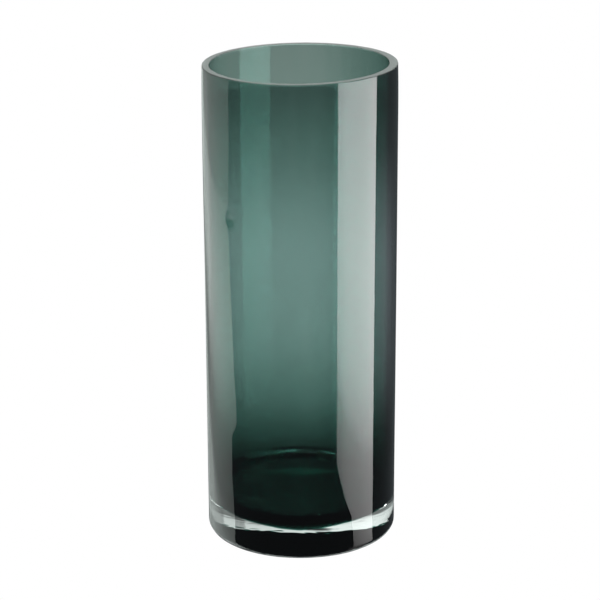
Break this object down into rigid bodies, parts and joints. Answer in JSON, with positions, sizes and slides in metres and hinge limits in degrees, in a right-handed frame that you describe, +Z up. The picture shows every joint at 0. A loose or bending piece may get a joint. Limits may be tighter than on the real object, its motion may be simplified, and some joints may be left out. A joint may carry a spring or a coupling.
{
  "type": "glass vase",
  "caption": "Tall straight cylinder vase of cased glass: a clear outer wall and thick clear base fused round a coloured inner cup.",
  "frame": {"origin": "centre of the foot, in the plane of the surface that the vase stands on", "axes": "+Z up the vase's own axis, out of its mouth. X and Y are level, and the shape is round about Z."},
  "size_m": [0.1186, 0.1186, 0.3],
  "materials": {
    "clear_glass": "polished, fire-polished at the rim",
    "teal_glass": "polished, dark grey-green, see-through"
  },
  "bodies": {
    "root": {"clear_casing": "clear_glass", "coloured_lining": "teal_glass"}
  },
  "joints": []
}
